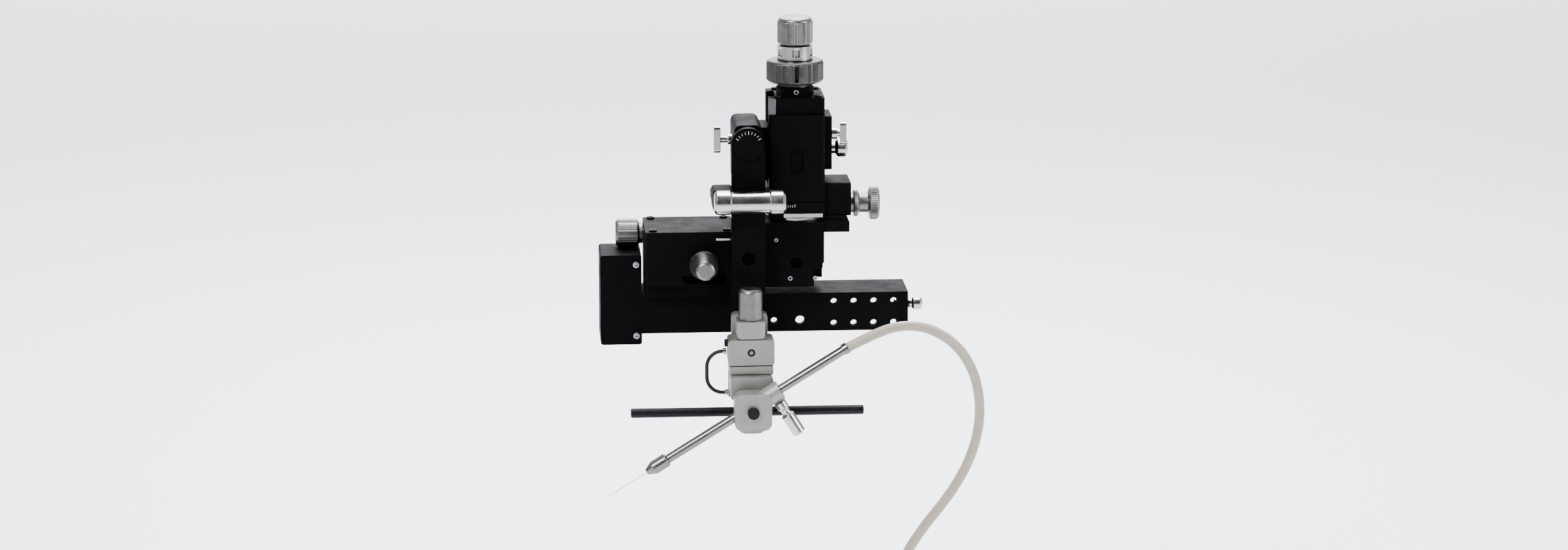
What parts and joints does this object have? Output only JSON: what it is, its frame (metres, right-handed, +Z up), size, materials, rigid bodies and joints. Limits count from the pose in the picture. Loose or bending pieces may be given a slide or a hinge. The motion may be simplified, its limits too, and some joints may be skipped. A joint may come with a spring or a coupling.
{
  "type": "micromanipulator",
  "caption": "Bracket-mounted micromanipulator: stacked linear stages on a drilled beam, a coarse and fine vertical drive, and a tilting arm with a hydraulic unit and pipette holder.",
  "frame": {"origin": "centre of the four tapped holes in the mounting block's outer face", "axes": "+X along the beam away from the block, +Y away from the user, +Z up"},
  "size_m": [0.169, 0.0789, 0.3014],
  "materials": {
    "black_anodised": "black anodised, satin",
    "black_anodised_arm": "black anodised, satin",
    "silver_knob": "clear anodised, knurled",
    "bright_steel": "polished",
    "screw_steel": "plain steel",
    "black_screws": "blackened",
    "brass": "machined",
    "white_unit": "pale satin",
    "clear_cylinder": "pale, polished",
    "holder_steel": "ground steel",
    "black_rod": "blackened",
    "glass": "clear",
    "tube": "milky, soft",
    "line": "black",
    "fitting": "white moulded"
  },
  "bodies": {
    "beam_mount": {"mount_block": "black_anodised", "beam": "black_anodised", "frame_screws": "screw_steel", "y_base": "black_anodised", "y_nut": "brass"},
    "beam_plug": {"end_screw": "bright_steel"},
    "y_stage": {"y_housing": "black_anodised", "housing_cover": "black_anodised", "cover_screws": "black_screws"},
    "y_drive": {"y_knob": "silver_knob", "y_lead_screw": "screw_steel"},
    "x_drive": {"x_knob": "silver_knob", "x_lead_screw": "screw_steel"},
    "x_stage": {"x_carriage": "black_anodised", "x_nut": "brass"},
    "turret": {"swivel_ring": "bright_steel", "cross_base": "black_anodised", "cross_end_block": "black_anodised"},
    "cross_drive": {"cross_knob": "silver_knob", "cross_screw": "screw_steel"},
    "cross_stage": {"cross_plate": "black_anodised", "cross_nut": "brass", "z_column": "black_anodised", "column_cap": "black_anodised", "cap_screws": "black_screws", "neck_nut": "black_anodised", "side_plate": "black_anodised"},
    "lever": {"lock_lever": "bright_steel"},
    "upper_lock": {"z_lock_upper": "bright_steel"},
    "lower_lock": {"z_lock_lower": "bright_steel"},
    "z_head": {"z_spindle": "bright_steel"},
    "coarse_drive": {"coarse_collar": "silver_knob"},
    "fine_drive": {"fine_knob": "silver_knob", "fine_screw": "screw_steel"},
    "z_carrier": {"z_slider": "black_anodised_arm", "fine_nut": "brass", "tilt_bracket": "black_anodised_arm", "bracket_screws": "black_screws"},
    "tilt_clamp": {"tilt_lock": "bright_steel"},
    "arm": {"tilt_arm": "black_anodised_arm", "tilt_pin": "black_rod", "arm_screws": "black_screws", "fine_backplate": "white_unit", "oil_cylinder": "clear_cylinder"},
    "fine_z": {"fine_z_block": "white_unit", "fine_piston": "screw_steel"},
    "fine_y": {"fine_y_yoke": "white_unit", "oil_line": "line"},
    "fine_x": {"fine_x_block": "white_unit"},
    "cross_rod": {"support_rod": "black_rod"},
    "clamp": {"tool_clamp": "white_unit"},
    "clamp_bolt": {"clamp_screw": "black_screws"},
    "wing": {"wing_screw": "bright_steel"},
    "holder": {"pipette_holder": "holder_steel", "glass_pipette": "glass", "air_tube": "tube", "tube_coil": "tube", "tube_fitting": "fitting"},
    "chuck": {"chuck_nut": "holder_steel"}
  },
  "joints": [
    {"name": "end_screw_turn", "type": "hinge", "parent": "beam_mount", "child": "beam_plug", "pos_m": [0.1385, -0.006, -0.005], "axis": [1, 0, 0], "continuous": true},
    {"name": "y_slide", "type": "slide", "parent": "beam_mount", "child": "y_stage", "axis": [0, 1, 0], "range_m": [-0.008, 0.008]},
    {"name": "y_knob_turn", "type": "hinge", "parent": "y_stage", "child": "y_drive", "pos_m": [0.046, -0.03, 0.018], "axis": [0, 1, 0], "range_deg": [-1460, 1460]},
    {"name": "x_knob_turn", "type": "hinge", "parent": "y_stage", "child": "x_drive", "pos_m": [0.02, 0.005, 0.027], "axis": [1, 0, 0], "range_deg": [-20, 2720]},
    {"name": "x_slide", "type": "slide", "parent": "y_stage", "child": "x_stage", "axis": [1, 0, 0], "range_m": [0, 0.015]},
    {"name": "swivel", "type": "hinge", "parent": "x_stage", "child": "turret", "pos_m": [0.088, -0.004, 0.0357], "axis": [0, 0, -1], "range_deg": [-45, 0]},
    {"name": "cross_knob_turn", "type": "hinge", "parent": "turret", "child": "cross_drive", "pos_m": [0.1125, -0.004, 0.0413], "axis": [1, 0, 0], "range_deg": [-920, 20]},
    {"name": "cross_slide", "type": "slide", "parent": "turret", "child": "cross_stage", "axis": [1, 0, 0], "range_m": [-0.005, 0]},
    {"name": "lever_turn", "type": "hinge", "parent": "cross_stage", "child": "lever", "pos_m": [0.0545, -0.038, 0.049], "axis": [0, -1, 0], "range_deg": [0, 50]},
    {"name": "upper_lock_turn", "type": "hinge", "parent": "cross_stage", "child": "upper_lock", "pos_m": [0.1005, -0.008, 0.074], "axis": [1, 0, 0], "continuous": true},
    {"name": "lower_lock_turn", "type": "hinge", "parent": "cross_stage", "child": "lower_lock", "pos_m": [0.1005, -0.001, 0.066], "axis": [1, 0, 0], "continuous": true},
    {"name": "z_coarse", "type": "slide", "parent": "cross_stage", "child": "z_head", "axis": [0, 0, 1], "range_m": [0, 0.015]},
    {"name": "coarse_turn", "type": "hinge", "parent": "z_head", "child": "coarse_drive", "pos_m": [0.088, -0.004, 0.0971], "axis": [0, 0, 1], "range_deg": [-20, 2720]},
    {"name": "fine_turn", "type": "hinge", "parent": "z_head", "child": "fine_drive", "pos_m": [0.088, -0.004, 0.1139], "axis": [0, 0, 1], "range_deg": [-1460, 1460]},
    {"name": "z_fine", "type": "slide", "parent": "z_head", "child": "z_carrier", "axis": [0, 0, 1], "range_m": [-0.002, 0.002]},
    {"name": "tilt_lock_turn", "type": "hinge", "parent": "z_carrier", "child": "tilt_clamp", "pos_m": [0.0595, -0.0156, 0.0733], "axis": [1, 0, 0], "continuous": true},
    {"name": "arm_tilt", "type": "hinge", "parent": "z_carrier", "child": "arm", "pos_m": [0.0655, -0.0306, 0.0733], "axis": [0, -1, 0], "range_deg": [-2, 20]},
    {"name": "fine_z_slide", "type": "slide", "parent": "arm", "child": "fine_z", "axis": [0, 0, 1], "range_m": [-0.006, 0]},
    {"name": "fine_y_slide", "type": "slide", "parent": "fine_z", "child": "fine_y", "axis": [0, 1, 0], "range_m": [-0.004, 0.004]},
    {"name": "fine_x_slide", "type": "slide", "parent": "fine_y", "child": "fine_x", "axis": [1, 0, 0], "range_m": [-0.005, 0.005]},
    {"name": "rod_slide", "type": "slide", "parent": "fine_x", "child": "cross_rod", "axis": [1, 0, 0], "range_m": [-0.015, 0.015]},
    {"name": "clamp_tilt", "type": "hinge", "parent": "fine_x", "child": "clamp", "pos_m": [0.0655, -0.0539, -0.0403], "axis": [0, -1, 0], "range_deg": [-25, 25]},
    {"name": "clamp_screw_turn", "type": "hinge", "parent": "clamp", "child": "clamp_bolt", "pos_m": [0.0655, -0.0636, -0.0403], "axis": [0, 1, 0], "continuous": true},
    {"name": "wing_screw_turn", "type": "hinge", "parent": "clamp", "child": "wing", "pos_m": [0.07485, -0.05875, -0.0327], "axis": [0.527, 0, -0.8499], "continuous": true},
    {"name": "holder_slide", "type": "slide", "parent": "clamp", "child": "holder", "axis": [0.8499, 0, 0.527], "range_m": [-0.01, 0.01]},
    {"name": "chuck_turn", "type": "hinge", "parent": "holder", "child": "chuck", "pos_m": [0.02471, -0.05875, -0.06379], "axis": [0.8499, 0, 0.527], "continuous": true}
  ],
  "couplings": [
    {"joint": "y_knob_turn", "follows": "y_slide", "rad_per_m": 3141.6},
    {"joint": "x_knob_turn", "follows": "x_slide", "rad_per_m": 3141.6},
    {"joint": "cross_knob_turn", "follows": "cross_slide", "rad_per_m": 3141.6},
    {"joint": "coarse_turn", "follows": "z_coarse", "rad_per_m": 3141.6},
    {"joint": "fine_turn", "follows": "z_fine", "rad_per_m": 12566}
  ]
}
